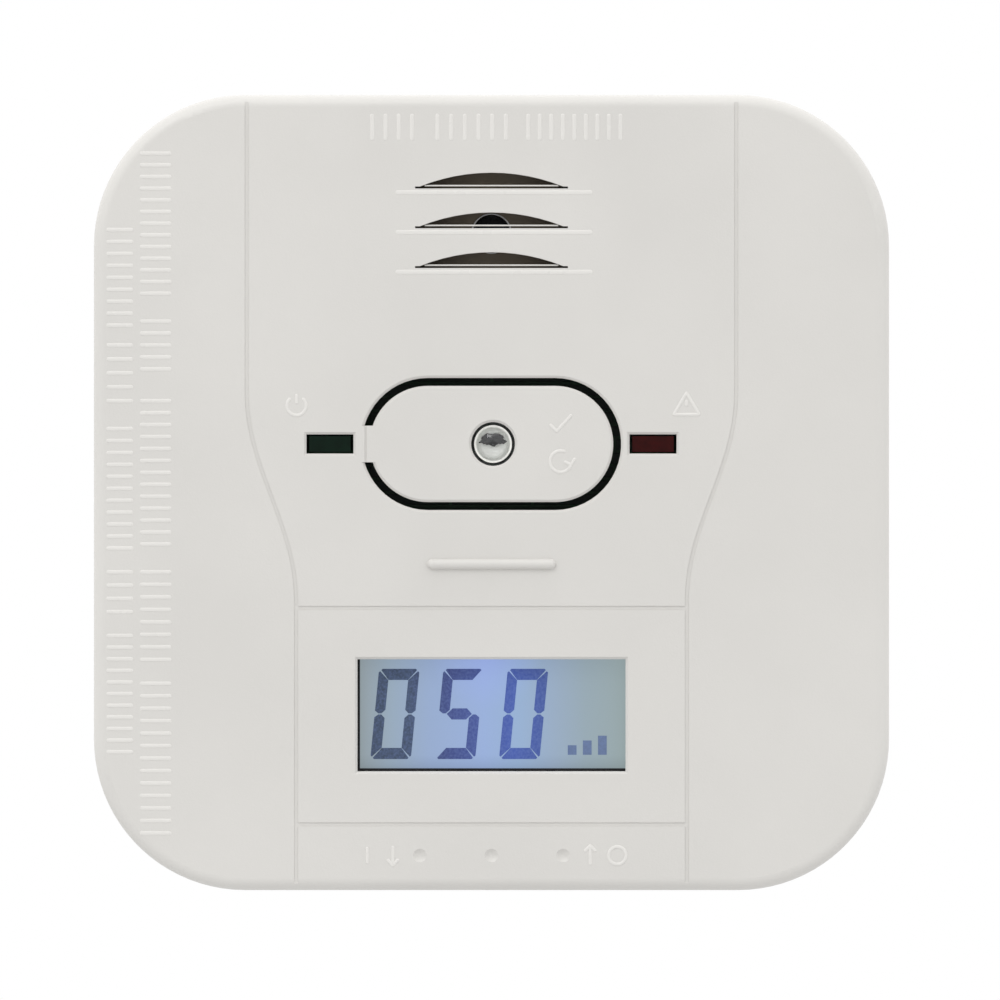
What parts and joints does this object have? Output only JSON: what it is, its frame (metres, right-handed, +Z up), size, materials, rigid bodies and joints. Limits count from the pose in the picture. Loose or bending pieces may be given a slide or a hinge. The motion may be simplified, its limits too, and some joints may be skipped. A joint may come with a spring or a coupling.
{
  "type": "carbon monoxide detector",
  "caption": "Square wall-mounted gas alarm with a digital readout, louvred sounder, test button, indicator lights, battery compartment and a slide-on wall bracket.",
  "frame": {"origin": "centre of the wall bracket's rear face, midway between its two round screw holes", "axes": "+X to the right as seen from the front, +Y into the wall, +Z up; the front faces -Y"},
  "size_m": [0.1, 0.0377, 0.1],
  "materials": {
    "housing_plastic": "moulded ABS with a fine spark texture, satin",
    "rear_plastic": "moulded ABS, satin, a little greyer",
    "bracket_plastic": "moulded ABS, satin",
    "zinc_steel": "zinc-plated steel",
    "nickel_plate": "nickel-plated spring steel",
    "cell_sleeve": "shrink sleeve with a bright end",
    "red_insulation": "PVC wire insulation",
    "black_insulation": "PVC wire insulation",
    "solder_mask": "green solder mask on glass-epoxy",
    "display_glass": "thin display glass",
    "polariser_film": "polariser film over the lit display",
    "backlit_film": "diffusing film",
    "light_guide_acrylic": "milky acrylic, lit blue",
    "holder_plastic": "white moulded plastic",
    "black_foam": "closed-cell foam",
    "conductive_rubber": "striped silicone",
    "lamp_epoxy": "clear epoxy on a white package",
    "green_epoxy": "diffused green epoxy, unlit",
    "red_epoxy": "diffused red epoxy, unlit",
    "clear_epoxy": "clear epoxy lens",
    "tinned_wire": "tinned copper",
    "black_plastic": "black moulded plastic",
    "sounder_plastic": "dark brown moulded plastic",
    "brass_sheet": "rolled brass",
    "piezo_ceramic": "silvered ceramic",
    "sensor_steel": "drawn steel can",
    "ferrite": "sintered ferrite",
    "copper_wire": "enamelled copper wire",
    "capacitor_sleeve": "printed shrink sleeve, aluminium top",
    "chip_epoxy": "moulded epoxy",
    "chip_ceramic": "fired ceramic"
  },
  "bodies": {
    "bracket": {"mounting_bracket": "bracket_plastic"},
    "housing": {"back_cover": "rear_plastic", "front_cover": "housing_plastic", "housing_screws": "zinc_steel", "button_hinge_web": "housing_plastic", "cell_top": "cell_sleeve", "cell_middle": "cell_sleeve", "cell_bottom": "cell_sleeve", "positive_contact": "nickel_plate", "negative_contact": "nickel_plate", "left_bridge_contact": "nickel_plate", "right_bridge_contact": "nickel_plate", "contact_springs": "nickel_plate", "wire_red": "red_insulation", "wire_black": "black_insulation", "circuit_board": "solder_mask", "board_screws": "zinc_steel", "lcd_front_glass": "display_glass", "lcd_rear_glass": "display_glass", "lcd_front_polariser": "polariser_film", "lcd_rear_polariser": "backlit_film", "lcd_light_guide": "light_guide_acrylic", "lcd_holder": "holder_plastic", "lcd_gasket": "black_foam", "lcd_rubber_strip": "conductive_rubber", "backlight_led": "lamp_epoxy", "led_green": "green_epoxy", "led_red": "red_epoxy", "led_clear": "clear_epoxy", "led_leads": "tinned_wire", "switch_body": "black_plastic", "switch_shield": "nickel_plate", "switch_legs": "tinned_wire", "sounder_case": "sounder_plastic", "sounder_base": "sounder_plastic", "sounder_gasket": "black_foam", "piezo_disc": "brass_sheet", "piezo_ceramic": "piezo_ceramic", "sounder_pins": "tinned_wire", "sensor_can": "sensor_steel", "sensor_cap": "sensor_steel", "sensor_filter": "black_foam", "sensor_pins": "tinned_wire", "boost_coil_core": "ferrite", "boost_coil_winding": "copper_wire", "capacitors": "capacitor_sleeve", "mcu_chip": "chip_epoxy", "amplifier_chip": "chip_epoxy", "chip_legs": "tinned_wire", "crystal": "sensor_steel", "small_resistors": "chip_epoxy", "small_capacitors": "chip_ceramic"},
    "door": {"battery_door": "rear_plastic"},
    "button": {"test_button": "housing_plastic"},
    "plunger": {"switch_plunger": "black_plastic"}
  },
  "joints": [
    {"name": "housing_slide", "type": "slide", "parent": "bracket", "child": "housing", "axis": [0, 0, 1], "range_m": [0, 0.006]},
    {"name": "door_hinge", "type": "hinge", "parent": "housing", "child": "door", "pos_m": [0, -0.0034, -0.02685], "axis": [-1, 0, 0], "range_deg": [0, 40]},
    {"name": "button_press", "type": "hinge", "parent": "housing", "child": "button", "pos_m": [-0.0158, -0.0348, 0.0061], "axis": [0, 0, 1], "range_deg": [0, 1.5], "stiffness_Nm_per_rad": 1.2},
    {"name": "plunger_slide", "type": "slide", "parent": "housing", "child": "plunger", "axis": [0, 1, 0], "range_m": [0, 0.00024]}
  ],
  "couplings": [
    {"joint": "plunger_slide", "follows": "button_press", "m_per_rad": 0.0088}
  ]
}
